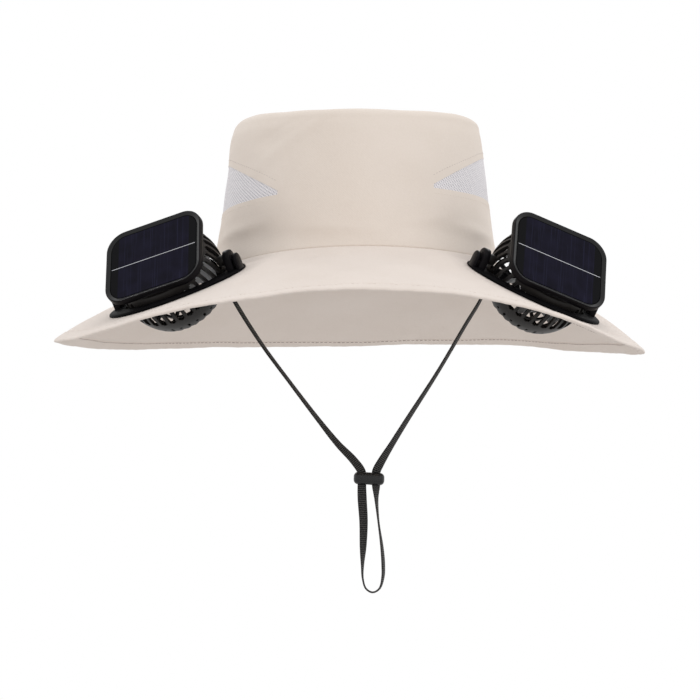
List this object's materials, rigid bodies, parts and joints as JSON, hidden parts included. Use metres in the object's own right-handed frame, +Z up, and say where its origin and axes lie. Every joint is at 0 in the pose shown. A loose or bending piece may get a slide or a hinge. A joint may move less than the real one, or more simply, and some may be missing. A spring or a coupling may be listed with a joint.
{
  "type": "solar fan hat",
  "caption": "Cloth sun hat with a wide brim, mesh windows in the crown, tilting fans through the brim under solar panels, and a chin strap with a sliding toggle.",
  "frame": {"origin": "middle of the head opening, level with the seam between crown and brim", "axes": "+Z up along the crown, front of the hat towards -Y, +X towards the right-hand fan in the picture"},
  "size_m": [0.384, 0.3968, 0.3088],
  "materials": {
    "cloth": "woven",
    "mesh": "open mesh",
    "black_plastic": "satin",
    "grey_plastic": "satin",
    "solar_cell": "gloss",
    "motor_steel": "satin",
    "tape": "ribbed"
  },
  "bodies": {
    "hat": {"crown": "cloth", "brim": "cloth", "left_mesh_window": "mesh", "right_mesh_window": "mesh", "left_fan_base": "black_plastic", "right_fan_base": "black_plastic", "chin_strap": "tape", "strap_toggle": "black_plastic"},
    "left_head": {"left_fan_housing": "black_plastic", "left_fan_grille": "black_plastic", "left_fan_motor": "motor_steel", "left_solar_frame": "black_plastic", "left_solar_cell": "solar_cell"},
    "right_head": {"right_fan_housing": "black_plastic", "right_fan_grille": "black_plastic", "right_fan_motor": "motor_steel", "right_solar_frame": "black_plastic", "right_solar_cell": "solar_cell"},
    "left_rotor": {"left_fan_rotor": "grey_plastic"},
    "right_rotor": {"right_fan_rotor": "grey_plastic"}
  },
  "joints": [
    {"name": "left_fan_tilt", "type": "hinge", "parent": "hat", "child": "left_head", "pos_m": [-0.11414, -0.08167, -0.01708], "axis": [0.896, -0.362, 0.2573], "range_deg": [-82, 3]},
    {"name": "left_rotor_spin", "type": "hinge", "parent": "left_head", "child": "left_rotor", "pos_m": [-0.11414, -0.08167, -0.01708], "axis": [-0.4432, -0.7667, 0.4645], "continuous": true},
    {"name": "right_fan_tilt", "type": "hinge", "parent": "hat", "child": "right_head", "pos_m": [0.11362, -0.08091, -0.01845], "axis": [0.8777, 0.3546, -0.3222], "range_deg": [-82, 3]},
    {"name": "right_rotor_spin", "type": "hinge", "parent": "right_head", "child": "right_rotor", "pos_m": [0.11362, -0.08091, -0.01845], "axis": [0.4695, -0.7709, 0.4305], "continuous": true}
  ]
}
